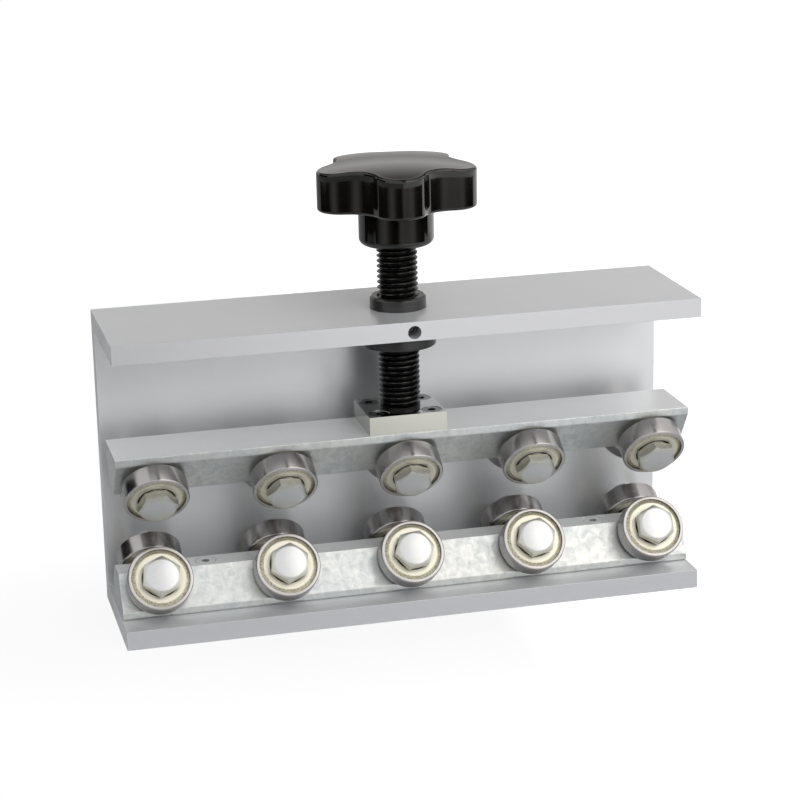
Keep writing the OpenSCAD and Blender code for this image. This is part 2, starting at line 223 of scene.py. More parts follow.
def rings_mesh(name, rings, closed=False):
    """A skin over rings of points, one after another. A ring of one point closes an end."""
    bm = bmesh.new()
    made = [[bm.verts.new(p) for p in ring] for ring in rings]
    pairs = list(zip(made, made[1:]))
    if closed:
        pairs.append((made[-1], made[0]))
    for a, b in pairs:
        steps = max(len(a), len(b))
        for i in range(steps):
            j = (i + 1) % steps
            corners = [a[i % len(a)], a[j % len(a)], b[j % len(b)], b[i % len(b)]]
            face = list(dict.fromkeys(corners))
            if len(face) > 2:
                bm.faces.new(face)
    return piece_from(name, bm)


def ring(radius, height, steps):
    """A ring of points about Z. radius is a size or a function of the angle, and so is height."""
    points = []
    for i in range(steps):
        a = 2 * pi * i / steps
        r = radius(a) if callable(radius) else radius
        z = height(a) if callable(height) else height
        points.append((r * cos(a), r * sin(a), z))
    return points


def lathe(name, section, steps, closed=True):
    """Turns a half-section of (radius, height) points about Z."""
    rings = [[(0, 0, z)] if r < 1e-9 else ring(r, z, steps) for r, z in section]
    return rings_mesh(name, rings, closed)


def prism_x(name, outline, x0, x1):
    """Extrudes an outline of (y, z) points along X."""
    bm = bmesh.new()
    ends = [[bm.verts.new((x, y, z)) for y, z in outline] for x in (x0, x1)]
    bm.faces.new(ends[0])
    bm.faces.new(ends[1])
    for i in range(len(outline)):
        j = (i + 1) % len(outline)
        bm.faces.new((ends[0][i], ends[0][j], ends[1][j], ends[1][i]))
    return piece_from(name, bm)


def block(name, low, high):
    """A box between two corners."""
    outline = [(low.y, low.z), (high.y, low.z), (high.y, high.z), (low.y, high.z)]
    return prism_x(name, outline, low.x, high.x)


def moved(piece, matrix):
    """Moves a piece's own mesh."""
    piece.data.transform(matrix)
    return piece


def joined(name, pieces):
    """One piece of several, which keep their materials."""
    bm = bmesh.new()
    materials = []
    for part in pieces:
        first = len(materials)
        materials += list(part.data.materials)
        start = len(bm.faces)
        bm.from_mesh(part.data)
        bm.faces.ensure_lookup_table()
        for face in bm.faces[start:]:
            face.material_index += first
    mesh = bpy.data.meshes.new(name)
    bm.to_mesh(mesh)
    bm.free()
    for material in materials:
        mesh.materials.append(material)
    for part in pieces:
        bpy.data.objects.remove(part)
    whole = bpy.data.objects.new(name, mesh)
    bpy.context.scene.collection.objects.link(whole)
    return whole


def copy_of(piece, name, place):
    """Another piece with the same mesh, standing at a place."""
    twin = bpy.data.objects.new(name, piece.data)
    bpy.context.scene.collection.objects.link(twin)
    twin.matrix_world = place
    return twin


# Material helpers

class Paint:
    """A material with a Principled shader, and short ways to add the nodes that drive it."""

    def __init__(self, name, color, metallic=0.0, roughness=0.5):
        self.material = bpy.data.materials.new(name)
        self.material.use_nodes = True
        self.tree = self.material.node_tree
        self.shader = self.tree.nodes["Principled BSDF"]
        self.set("Base Color", (*color, 1))
        self.set("Metallic", metallic)
        self.set("Roughness", roughness)
        self.material.diffuse_color = (*color, 1)

    def set(self, socket, value):
        """Gives a shader socket a constant, or the output of a node."""
        target = self.shader.inputs[socket]
        if isinstance(value, bpy.types.NodeSocket):
            self.tree.links.new(value, target)
        else:
            target.default_value = value

    def node(self, kind, inputs=None, **settings):
        made = self.tree.nodes.new("ShaderNode" + kind)
        for key, value in settings.items():
            setattr(made, key, value)
        for key, value in (inputs or {}).items():
            if isinstance(value, bpy.types.NodeSocket):
                self.tree.links.new(value, made.inputs[key])
            else:
                made.inputs[key].default_value = value
        return made

    def coords(self, scale=(1, 1, 1), turn=(0, 0, 0)):
        """The piece's own coordinates, stretched and turned."""
        place = self.node("TexCoord").outputs["Object"]
        return self.node("Mapping", {"Vector": place, "Scale": scale, "Rotation": turn}).outputs["Vector"]

    def noise(self, scale, detail=4.0, roughness=0.55, distortion=0.0, vector=None):
        return self.node("TexNoise", {"Vector": vector or self.coords(), "Scale": scale, "Detail": detail,
                                      "Roughness": roughness, "Distortion": distortion}).outputs["Fac"]

    def span(self, value, low, high, start=0.0, end=1.0):
        """Maps a value from start..end to low..high."""
        return self.node("MapRange", {"Value": value, "From Min": start, "From Max": end, "To Min": low,
                                      "To Max": high}).outputs["Result"]

    def math(self, operation, a, b=0.0):
        return self.node("Math", {0: a, 1: b}, operation=operation).outputs[0]

    def ramp(self, value, *stops):
        """A colour that follows a value: stops are (position, colour)."""
        made = self.node("ValToRGB", {"Fac": value})
        elements = made.color_ramp.elements
        while len(elements) < len(stops):
            elements.new(0.5)
        for element, (position, color) in zip(elements, stops):
            element.position = position
            element.color = (*color, 1)
        return made.outputs["Color"]

    def bump(self, height, distance, strength=1.0, normal=None):
        inputs = {"Height": height, "Distance": distance, "Strength": strength}
        if normal:
            inputs["Normal"] = normal
        return self.node("Bump", inputs).outputs["Normal"]

    def along(self, axis):
        """Place along one of the piece's own axes."""
        return self.node("SeparateXYZ", {"Vector": self.coords()}).outputs[axis]

    def facing(self, axis):
        """How squarely a surface faces one of the piece's own axes: 1 across it and 0 along it."""
        normal = self.node("TexCoord").outputs["Normal"]
        return self.math("ABSOLUTE", self.node("SeparateXYZ", {"Vector": normal}).outputs[axis])

    def off_axis(self):
        """Distance from the piece's own Z axis."""
        flat = self.coords((1, 1, 0))
        return self.node("VectorMath", {0: flat}, operation="LENGTH").outputs["Value"]

    def mixed(self, share, low, high, blend="MIX"):
        """Two colours put together, the second by a share."""
        made = self.node("Mix", {"Factor": share, 6: low, 7: high}, data_type="RGBA", blend_type=blend)
        return made.outputs[2]

    def edge_wear_and_shade(self, radius):
        """0 on flats and up to 1 along edges."""
        soft = self.node("Bevel", {"Radius": radius}, samples=6).outputs["Normal"]
        true = self.node("NewGeometry").outputs["Normal"]
        across = self.node("VectorMath", {0: soft, 1: true}, operation="DOT_PRODUCT").outputs["Value"]
        return self.span(across, 1.0, 0.0, 0.75, 1.0)


def satin_aluminium():
    """Drawn channel: its gloss spreads across the fine lines along X. Its front faces are painted darker:
    painted shade that tones down the key lamp's light on them.
    """
    paint = Paint("satin_aluminium", (0.755, 0.77, 0.785), 0.7, 0.32)
    lines = paint.noise(1.0, 3, 0.6, vector=paint.coords((18, 1500, 1500)))
    cloud = paint.noise(28, 3, 0.5)
    grain = paint.noise(5200, 2, 0.6)
    # Painted shade: the front faces take a darker colour than the rest, against the key lamp's light on them
    edge = paint.span(paint.along("Y"), 1.0, 0.0, CHANNEL_LOW.y + 0.3 * MM, CHANNEL_LOW.y + 0.6 * MM)
    drawn = paint.ramp(cloud, (0.3, (0.76, 0.775, 0.795)), (0.7, (0.79, 0.80, 0.815)))
    paint.set("Base Color", paint.mixed(edge, drawn, (0.635, 0.64, 0.66, 1)))
    paint.set("Roughness", paint.span(lines, 0.33, 0.365))
    paint.set("Anisotropic", 0.8)
    across = paint.node("Tangent", direction_type="RADIAL", axis="X").outputs["Tangent"]
    paint.set("Tangent", across)
    paint.set("Normal", paint.bump(grain, 0.000004, 0.15))
    return paint.material


def zinc_bar():
    """Plated bar: matte flat sides, and brighter slopes that milling and handling have scuffed."""
    paint = Paint("zinc_bar", (0.72, 0.73, 0.72), 0.7, 0.4)
    flat = paint.span(paint.facing("Z"), 0.0, 1.0, 0.8, 0.95)
    swirl = paint.node("TexVoronoi", {"Vector": paint.coords(), "Scale": 45.0}).outputs["Distance"]
    arcs = paint.math("SINE", paint.math("MULTIPLY", swirl, 130.0))
    scuff = paint.noise(330, 7, 0.66, 0.7)
    tint = paint.noise(45, 3, 0.5)
    plated = paint.ramp(scuff, (0.30, (0.49, 0.515, 0.52)), (0.50, (0.595, 0.61, 0.605)),
                        (0.70, (0.70, 0.70, 0.675)))
    cool = paint.ramp(tint, (0.35, (0.955, 0.985, 1.0)), (0.65, (1.0, 0.995, 0.975)))
    slope = paint.mixed(1.0, plated, cool, "MULTIPLY")
    matte = paint.ramp(tint, (0.3, (0.84, 0.855, 0.85)), (0.7, (0.86, 0.865, 0.86)))
    paint.set("Base Color", paint.mixed(flat, slope, matte))
    paint.set("Metallic", paint.span(flat, 0.9, 0.45))
    paint.set("Roughness", paint.math("MAXIMUM", paint.span(scuff, 0.46, 0.28, 0.3, 0.7),
                                      paint.span(flat, 0.0, 0.42)))
    fine = paint.bump(scuff, 0.00008, 0.45)
    paint.set("Normal", paint.bump(arcs, 0.00001, 0.3, fine))
    return paint.material


def polished_ring():
    """Bearing steel: ground faces, and a rolling surface whose fine marks run round it."""
    paint = Paint("polished_ring", (0.47, 0.45, 0.44), 1.0, 0.3)
    face = paint.span(paint.facing("Z"), 0.0, 1.0, 0.75, 0.95)
    smear = paint.noise(130, 3, 0.5)
    paint.set("Base Color", paint.ramp(face, (0.0, (0.42, 0.40, 0.395)), (1.0, (0.55, 0.53, 0.525))))
    paint.set("Roughness", paint.math("ADD", paint.span(smear, 0.21, 0.28), paint.span(face, 0.0, 0.1)))
    paint.set("Anisotropic", 0.85)
    paint.set("Anisotropic Rotation", 0.25)
    return paint.material


def shield_zinc():
    """Pressed shield: cream passivated flat, and a darker slope at its rim with specks of old grease. Its
    very edge is painted near black: painted shade in the gap to the outer ring, and partly the dark of grease
    there.
    """
    paint = Paint("shield_zinc", (0.78, 0.75, 0.61), 0.7, 0.4)
    tint = paint.span(paint.off_axis(), 0.0, 1.0, 6 * MM, 10 * MM)
    # The last, near-black stop is painted shade in the gap to the outer ring, and partly grease
    tone_and_gap_shade = paint.ramp(tint, (0.0, (0.74, 0.715, 0.61)), (0.54, (0.73, 0.70, 0.59)),
                       (0.66, (0.58, 0.56, 0.45)), (0.88, (0.54, 0.52, 0.42)), (0.94, (0.16, 0.15, 0.13)))
    grease = paint.ramp(paint.noise(2300, 3, 0.6), (0.38, (0.46, 0.43, 0.32)), (0.52, (1.0, 1.0, 0.97)))
    slope = paint.span(tint, 0.0, 1.0, 0.56, 0.68)
    paint.set("Base Color", paint.mixed(slope, tone_and_gap_shade, grease, "MULTIPLY"))
    mottle = paint.noise(900, 3, 0.6)
    paint.set("Roughness", paint.span(mottle, 0.35, 0.48))
    return paint.material


def bright_zinc():
    """Plated bolt: white flat on the head, olive grey on its bevels and sides. That grey is raised lighter
    than the plating's own: painted light for the light the sides lack.
    """
    paint = Paint("bright_zinc", (0.68, 0.69, 0.69), 0.9, 0.36)
    flat = paint.span(paint.facing("Z"), 0.0, 1.0, 0.9, 0.98)
    mottle = paint.noise(420, 5, 0.6, 0.4)
    strokes = paint.noise(1.0, 4, 0.65, vector=paint.coords((180, 2600, 600), (0, 0, 0.6)))
    white = paint.ramp(strokes, (0.3, (0.595, 0.61, 0.615)), (0.7, (0.635, 0.645, 0.645)))
    # Painted light: the olive grey of the sides and bevels is raised lighter, for light that they lack
    olive = paint.ramp(mottle, (0.3, (0.52, 0.52, 0.47)), (0.7, (0.62, 0.62, 0.57)))
    paint.set("Base Color", paint.mixed(flat, olive, white))
    paint.set("Roughness", paint.span(mottle, 0.28, 0.42))
    paint.set("Normal", paint.bump(paint.noise(1100, 3, 0.6), 0.000003, 0.15))
    return paint.material


def ground_plate():
    """Ground sides with a straw tint, and a polished top."""
    paint = Paint("ground_plate", (0.555, 0.55, 0.51), 1.0, 0.08)
    lines = paint.noise(1.0, 3, 0.6, vector=paint.coords((60, 3000, 3000)))
    top = paint.span(paint.facing("Z"), 0.0, 1.0, 0.8, 0.95)
    paint.set("Base Color", paint.ramp(top, (0.0, (0.49, 0.49, 0.445)), (1.0, (0.60, 0.605, 0.60))))
    paint.set("Roughness", paint.span(lines, 0.04, 0.12))
    paint.set("Normal", paint.bump(lines, 0.000006, 0.15))
    return paint.material


def plain_screw():
    """Dark steel screw, painted darkest along its edges: painted shade round the rim of its head and in its
    socket.
    """
    paint = Paint("plain_screw", (0.30, 0.30, 0.31), 1.0, 0.34)
    mottle = paint.noise(700, 4, 0.6)
    # Painted shade: the edges go near black, for the shade round the head's rim and in the socket
    paint.set("Base Color", paint.ramp(paint.edge_wear_and_shade(0.45 * MM), (0.0, (0.23, 0.23, 0.23)),
                                       (0.5, (0.03, 0.03, 0.03))))
    paint.set("Roughness", paint.span(mottle, 0.14, 0.26))
    return paint.material


def black_steel():
    """Blackened steel, rubbed brighter along its edges."""
    paint = Paint("black_steel", (0.06, 0.06, 0.06), 0.85, 0.36)
    mottle = paint.noise(500, 4, 0.6)
    paint.set("Base Color", paint.ramp(paint.edge_wear_and_shade(0.3 * MM), (0.0, (0.055, 0.055, 0.054)),
                                       (0.9, (0.24, 0.24, 0.235))))
    paint.set("Roughness", paint.span(mottle, 0.19, 0.30))
    return paint.material


def oiled_thread():
    """Black oxide in the grooves, worn bright along the thread's crests."""
    paint = Paint("oiled_thread", (0.012, 0.0115, 0.011), 0.8, 0.26)
    crest = paint.span(paint.off_axis(), 0.0, 1.0, THREAD_R - 0.3 * MM, THREAD_R - 0.05 * MM)
    above_foot = paint.span(paint.along("Z"), 0.0, 1.0, THREAD_LOW, THREAD_LOW + 0.8 * MM)
    wear = paint.math("MULTIPLY", paint.math("MULTIPLY", crest, above_foot),
                      paint.span(paint.noise(420, 4, 0.6), 0.0, 1.0, 0.42, 0.66))
    paint.set("Base Color", paint.ramp(wear, (0.0, (0.010, 0.0095, 0.009)), (1.0, (0.13, 0.125, 0.12))))
    paint.set("Roughness", paint.span(paint.noise(900, 4, 0.6), 0.16, 0.32))
    return paint.material


def black_phenolic():
    """Glossy moulding with a faint ripple."""
    paint = Paint("black_phenolic", (0.004, 0.0035, 0.003), 0.0, 0.06)
    paint.set("IOR", 1.52)
    ripple = paint.noise(70, 2, 0.5)
    paint.set("Roughness", paint.span(paint.noise(240, 4, 0.6), 0.05, 0.085))
    paint.set("Normal", paint.bump(ripple, 0.00008, 0.12))
    return paint.material


def turned_brass():
    """Turned brass of uneven gloss."""
    paint = Paint("turned_brass", (0.72, 0.52, 0.22), 1.0, 0.24)
    paint.set("Roughness", paint.span(paint.noise(900, 3, 0.6), 0.18, 0.32))
    return paint.material


ALUMINIUM = satin_aluminium()
ZINC = zinc_bar()
RING_STEEL = polished_ring()
SHIELD = shield_zinc()
BRIGHT_ZINC = bright_zinc()
PLATE_STEEL = ground_plate()
SCREW_STEEL = plain_screw()
BUSH_STEEL = black_steel()
THREAD_STEEL = oiled_thread()
PHENOLIC = black_phenolic()
BRASS = turned_brass()


def dress(piece, material):
    """Gives a piece its one material."""
    piece.data.materials.clear()
    piece.data.materials.append(material)
    return piece


def stand_for(piece, body, *nodes):
    """Lets a piece ride on a body in place of its CAD nodes."""
    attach(piece, body)
    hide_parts(*nodes)
    return piece


# Pieces

def hex_radius(across_flats):
    """Radius of a hexagon by angle, with a corner at angle 0."""
    return lambda a: across_flats / 2 / cos(a % (pi / 3) - pi / 6)


def cylinder_tool(radius, place, length, axis="Z", steps=64):
    """A round cutter whose middle lies at a place."""
    tool = lathe("tool", [(0, -length / 2), (radius, -length / 2), (radius, length / 2), (0, length / 2)],
                 steps, closed=False)
    turn = Matrix.Rotation(pi / 2, 4, "X") if axis == "Y" else Matrix.Identity(4)
    return moved(tool, Matrix.Translation(place) @ turn)


def countersink_tool(place, depth):
    """A cutter for a countersunk screw's hole, under a face."""
    tool = lathe("tool", [(0, -depth), (SCREW_R, -depth), (SCREW_R, -SCREW_HEAD_H), (SCREW_HEAD_R, 0),
                          (SCREW_HEAD_R, MM), (0, MM)], 48, closed=False)
    return moved(tool, Matrix.Translation(place))


def make_channel():
    """The open channel, with holes for the bush, its grub screw and the lower bar's screws."""
    low, high = CHANNEL_LOW, CHANNEL_HIGH
    web = high.y - WEB_T
    outline = [(high.y, low.z), (high.y, high.z), (low.y, high.z), (low.y, high.z - FLANGE_T),
               (web, high.z - FLANGE_T), (web, low.z + FLANGE_T), (low.y, low.z + FLANGE_T), (low.y, low.z)]
    channel = prism_x("channel", outline, low.x, high.x)
    top_middle = high.z - FLANGE_T / 2
    grub_low, grub_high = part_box("nut_grub_screw")
    grub_mouth = (low.y + AXIS_Y) / 2
    grub_run = AXIS_Y - low.y + 4 * MM
    cut(channel,
        cylinder_tool(BUSH_R + HOLE_GAP, (0, AXIS_Y, top_middle), 2 * FLANGE_T),
        cylinder_tool(GRUB_HOLE_R, (0, grub_mouth, (grub_low.z + grub_high.z) / 2), grub_run, "Y", 48),
        *[cylinder_tool(SCREW_R + HOLE_GAP, (x, y, 0), 3 * FLANGE_T, "Z", 32) for x, y in BAR_SCREW_SPOTS])
    bevel(channel, CHANNEL_ROUND)
    dress(channel, ALUMINIUM)
    return stand_for(channel, "frame", "channel_frame")


def make_bar(name, node, body, flat_low):
    """A roller bar. flat_low says whether its flat side lies below, with broken edges and screw holes."""
    low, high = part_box(node)
    flat, narrow = (low.z, high.z) if flat_low else (high.z, low.z)
    band = flat + BAND_H if flat_low else flat - BAND_H
    outline = [(-BAR_W / 2, flat), (BAR_W / 2, flat), (BAR_W / 2, band), (STRIP_W / 2, narrow),
               (-STRIP_W / 2, narrow), (-BAR_W / 2, band)]
    if flat_low:
        broken = BAR_BROKEN_EDGE
        outline[:2] = [(-BAR_W / 2, flat + broken), (-BAR_W / 2 + broken, flat), (BAR_W / 2 - broken, flat),
                       (BAR_W / 2, flat + broken)]
    bar = prism_x(name, [(y + AXIS_Y, z) for y, z in outline], low.x, high.x)
    if flat_low:
        cut(bar, *[countersink_tool((x, y, high.z), THROUGH) for x, y in BAR_SCREW_SPOTS])
    bevel(bar, BAR_ROUND)
    dress(bar, ZINC)
    return stand_for(bar, body, node)


def roller_mesh():
    """Outer ring and both shields, standing on the bolt's seat with Z along the bolt."""
    r_out, r_shield, r_land = BEARING_OD / 2, 9.8 * MM, 8.9 * MM
    z0, z1 = SPACER_T, SPACER_T + BEARING_W
    seat = 1.1 * MM
    rim_round, lip_round = 0.7 * MM, 0.12 * MM
    section = soften(
        [(r_land, z0 + seat), (r_shield, z0 + seat), (r_shield, z0), (r_out, z0), (r_out, z1), (r_shield, z1),
         (r_shield, z1 - seat), (r_land, z1 - seat)],
        [0, 0, lip_round, rim_round, rim_round, lip_round, 0, 0])
    outer = shade(lathe("ring", section, 128), 40)
    dress(outer, RING_STEEL)
    parts = [outer]
    bore, flat_end, slope_end, edge = 6.3 * MM, 8.5 * MM, 9.45 * MM, 9.72 * MM
    flat, rim, sheet = 0.32 * MM, 0.8 * MM, 0.3 * MM
    skin = [(bore, flat), (flat_end, flat), (slope_end, rim), (edge, rim), (edge, rim + 0.2 * MM),
            (flat_end - 0.15 * MM, flat + sheet), (bore, flat + sheet)]
    for face, way in ((z1, 1), (z0, -1)):
        points = [(r, face - way * depth) for r, depth in skin]
        cover = shade(lathe("cover", soften(points, 0.1 * MM, steps=3), 128), 50)
        dress(cover, SHIELD)
        parts.append(cover)
    return joined("roller", parts)


def bolt_mesh():
    """Hexagon bolt standing on its seat: shank into the bar, head on the bearing."""
    steps = 120
    base = SPACER_T + BEARING_W
    hexagon = hex_radius(HEAD_AF)
    top = base + HEAD_H
    lip, tip = 0.15 * MM, 0.5 * MM
    slant = tan(radians(30))
    rings = [
        [(0, 0, -BOLT_ENGAGE)], ring(BOLT_R - tip, -BOLT_ENGAGE, steps),
        ring(BOLT_R, -BOLT_ENGAGE + tip, steps), ring(BOLT_R, base, steps),
        ring(WASHER_FACE_R, base, steps), ring(WASHER_FACE_R, base + WASHER_FACE_H, steps),
        ring(lambda a: hexagon(a) - lip, base + WASHER_FACE_H, steps),
        ring(hexagon, base + WASHER_FACE_H + lip, steps),
        ring(hexagon, lambda a: top - (hexagon(a) - HEAD_TOP_R) * slant, steps),
        ring(HEAD_TOP_R + lip, top - lip * slant, steps),
        ring(HEAD_TOP_R - lip, top, steps), [(0, 0, top)],
    ]
    bolt = shade(rings_mesh("bolt", rings), 22)
    return dress(bolt, BRIGHT_ZINC)


def seat_matrix(row, side, k):
    """Place of a bolt's seat: Z out of the bar along the roller's axis, X along the bar."""
    joint = JOINTS[f"{row}_{side}_roller_{k}_spin"]
    z = Vector(joint["axis"])
    x = Vector((1, 0, 0))
    turn = Matrix((x, z.cross(x), z)).transposed().to_4x4()
    return Matrix.Translation(joint["pos_m"]) @ turn


def make_rows():
    """Every roller and bolt of both rows, as copies of one roller and one bolt."""
    roller, bolt = roller_mesh(), bolt_mesh()
    for row, body, turns in (("lower", "frame", LOWER_HEAD_TURNS), ("upper", "carriage", UPPER_HEAD_TURNS)):
        for side in ("front", "rear"):
            for k in STATIONS:
                place = seat_matrix(row, side, k)
                node = f"{row}_{side}_roller_{k}"
                shown = copy_of(roller, f"{row}_{side}_bearing_{k}", place)
                stand_for(shown, node, node)
                angle = radians(turns[k - 1] if side == "front" else turns[-k])
                head = copy_of(bolt, f"{row}_{side}_bolt_{k}", place @ Matrix.Rotation(angle, 4, "Z"))
                stand_for(head, body, f"{row}_bolts")
    bpy.data.objects.remove(roller)
    bpy.data.objects.remove(bolt)


def socket_screw(name, length, material):
    """Countersunk screw with a hexagon socket, hanging from its flat top at height 0."""
    steps = 60
    hexagon = hex_radius(SOCKET_AF)
    lip, tip, brim, drill_cone = 0.08 * MM, 0.4 * MM, 0.25 * MM, 0.5 * MM
    head_r = SCREW_HEAD_R - 0.1 * MM
    rings = [
        [(0, 0, -length)], ring(SCREW_R - tip, -length, steps), ring(SCREW_R, -length + tip, steps),
        ring(SCREW_R, -SCREW_HEAD_H, steps), ring(head_r, -brim, steps), ring(head_r, -lip, steps),
        ring(head_r - lip, 0, steps), ring(lambda a: hexagon(a) + lip, 0, steps), ring(hexagon, -lip, steps),
        ring(hexagon, -SOCKET_H, steps), [(0, 0, -SOCKET_H - drill_cone)],
    ]
    return dress(shade(rings_mesh(name, rings), 30), material)


def make_screws():
    """The countersunk screws of the lower bar and of the foot plate, each set as copies of one screw."""
    for kind, spots, top, length, material, twist, body, node in (
            ("bar_screw", BAR_SCREW_SPOTS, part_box("lower_bar")[1].z, BAR_SCREW_L, ZINC, 0.4, "frame",
             "lower_bar_screws"),
            ("plate_screw", PLATE_SCREW_SPOTS, PLATE_HIGH.z, PLATE_SCREW_L, SCREW_STEEL, 0.7, "carriage",
             "foot_plate_screws")):
        screw = socket_screw(kind, length, material)
        for n, (x, y) in enumerate(spots, 1):
            place = Matrix.Translation((x, y, top - SCREW_SINK)) @ Matrix.Rotation(twist * n, 4, "Z")
            twin = copy_of(screw, f"{kind}_{n}", place)
            stand_for(twin, body, node)
        bpy.data.objects.remove(screw)


def make_foot_plate():
    """The plate that traps the spindle's thrust flange on the upper bar."""
    plate = block("foot_plate_block", PLATE_LOW, PLATE_HIGH)
    top, height = PLATE_HIGH.z, PLATE_HIGH.z - PLATE_LOW.z
    cut(plate, cylinder_tool(THREAD_R + RUN_GAP, (0, AXIS_Y, top), 3 * height),
        cylinder_tool(THRUST_R + RUN_GAP, (0, AXIS_Y, PLATE_LOW.z), 2 * (THRUST_H + 2 * RUN_GAP)),
        *[countersink_tool((x, y, top), 2 * height) for x, y in PLATE_SCREW_SPOTS])
    bevel(plate, PLATE_ROUND, 2)
    dress(plate, PLATE_STEEL)
    return stand_for(plate, "carriage", "foot_plate")


def make_nut_bush():
    """The flanged bush that the spindle runs in."""
    low, top = BUSH_LOW.z, BUSH_HIGH.z
    shoulder = low + BUSH_FLANGE_H
    chamfer = 0.7 * MM
    section = soften(
        [(BUSH_BORE_R, low), (BUSH_FLANGE_R, low), (BUSH_FLANGE_R, shoulder), (BUSH_R, shoulder),
         (BUSH_R, top - chamfer), (BUSH_R - chamfer, top), (BUSH_BORE_R, top)],
        [0.3 * MM, 0.5 * MM, 0.3 * MM, 0, 0.15 * MM, 0.15 * MM, 0.4 * MM], steps=3)
    bush = moved(shade(lathe("bush", section, 128), 30), Matrix.Translation((0, AXIS_Y, 0)))
    dress(bush, BUSH_STEEL)
    return stand_for(bush, "frame", "nut_bush")


def make_grub_screw():
    """The screw with a hexagon socket that holds the bush."""
    low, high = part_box("nut_grub_screw")
    length = high.y - low.y
    steps = 48
    hexagon = hex_radius(SOCKET_AF)
    r = (high.x - low.x) / 2
    edge, depth, drill_cone = 0.3 * MM, 2 * MM, 0.4 * MM
    rings = [[(0, 0, 0)], ring(r - edge, 0, steps), ring(r, edge, steps), ring(r, length - edge, steps),
             ring(r - edge, length, steps), ring(hexagon, length, steps),
             ring(hexagon, length - depth, steps), [(0, 0, length - depth - drill_cone)]]
    screw = shade(rings_mesh("grub", rings), 30)
    middle_z = (low.z + high.z) / 2
    moved(screw, Matrix.Translation((0, high.y, middle_z)) @ Matrix.Rotation(pi / 2, 4, "X"))
    dress(screw, BUSH_STEEL)
    return stand_for(screw, "frame", "nut_grub_screw")


def thread_rings(z0, z1, steps):
    """Rings of a right-hand thread between two heights. Each ring climbs one pitch in a turn."""
    root = THREAD_R - THREAD_DEPTH
    form = [(0, THREAD_R), (1 / 8, THREAD_R), (1 / 2, root), (5 / 8, root)]
    turns = int((z1 - z0) / THREAD_PITCH)
    rings = []
    for n in range(-1, turns + 1):
        for share, r in form:
            points = []
            for i in range(steps + 1):
                a = 2 * pi * i / steps
                z = z0 + (n + share + i / steps) * THREAD_PITCH
                points.append((r * cos(a), r * sin(a), min(max(z, z0), z1)))
            rings.append(points)
    return rings


def make_spindle():
    """Spindle with a true helical thread between its thrust flange and its stub."""
    steps = 64
    low, high = SPINDLE_LOW.z, SPINDLE_HIGH.z
    bm = bmesh.new()
    made = [[bm.verts.new(p) for p in r] for r in thread_rings(THREAD_LOW, THREAD_HIGH, steps)]
    for a, b in zip(made, made[1:]):
        for i in range(steps):
            if (a[i].co - b[i + 1].co).length > 1e-7:
                bm.faces.new((a[i], a[i + 1], b[i + 1], b[i]))
    bmesh.ops.remove_doubles(bm, verts=bm.verts, dist=1e-6)
    bmesh.ops.dissolve_degenerate(bm, dist=1e-6, edges=bm.edges)
    thread = shade(piece_from("thread", bm), 30)
    root = THREAD_R - THREAD_DEPTH
    lap = 0.5 * MM
    foot = shade(lathe("foot", soften(
        [(0, low), (THRUST_R, low), (THRUST_R, low + THRUST_H), (THREAD_R, low + THRUST_H),
         (THREAD_R, THREAD_LOW - 0.3 * MM), (root, THREAD_LOW + lap), (0, THREAD_LOW + lap)],
        [0, 0.3 * MM, 0.3 * MM, 0.2 * MM, 0.1 * MM, 0, 0], closed=False), 96, closed=False), 30)
    stub = shade(lathe("stub", [
        (0, THREAD_HIGH - lap), (root, THREAD_HIGH - lap), (STUB_R, THREAD_HIGH + 0.2 * MM),
        (STUB_R, high - 0.5 * MM), (STUB_R - 0.5 * MM, high), (0, high)], 96, closed=False), 30)
    for part in (thread, foot, stub):
        dress(part, THREAD_STEEL)
    spindle = joined("screw_spindle", [thread, foot, stub])
    spindle.matrix_world = Matrix.Translation((0, AXIS_Y, 0))
    return stand_for(spindle, "spindle", "spindle")


def star_radius(angle, inset):
    """Radius of the knob's outline by angle, drawn in by an inset. Round valleys join its round lobes."""
    half = pi / 5
    off = abs((angle + half) % (2 * half) - half)
    valley_at = LOBE_AT * cos(half) + sqrt((LOBE_R + VALLEY_R) ** 2 - (LOBE_AT * sin(half)) ** 2)
    lobe = Vector((LOBE_AT, 0))
    valley = Vector((valley_at * cos(half), valley_at * sin(half)))
    ray = Vector((cos(off), sin(off)))
    lobe_r, valley_r = LOBE_R - inset, VALLEY_R + inset
    touch = lobe + (valley - lobe) * lobe_r / (LOBE_R + VALLEY_R)
    if off < atan2(touch.y, touch.x):
        along = ray.dot(lobe)
        return along + sqrt(max(along ** 2 - lobe.length_squared + lobe_r ** 2, 0))
    along = ray.dot(valley)
    return along - sqrt(max(along ** 2 - valley.length_squared + valley_r ** 2, 0))


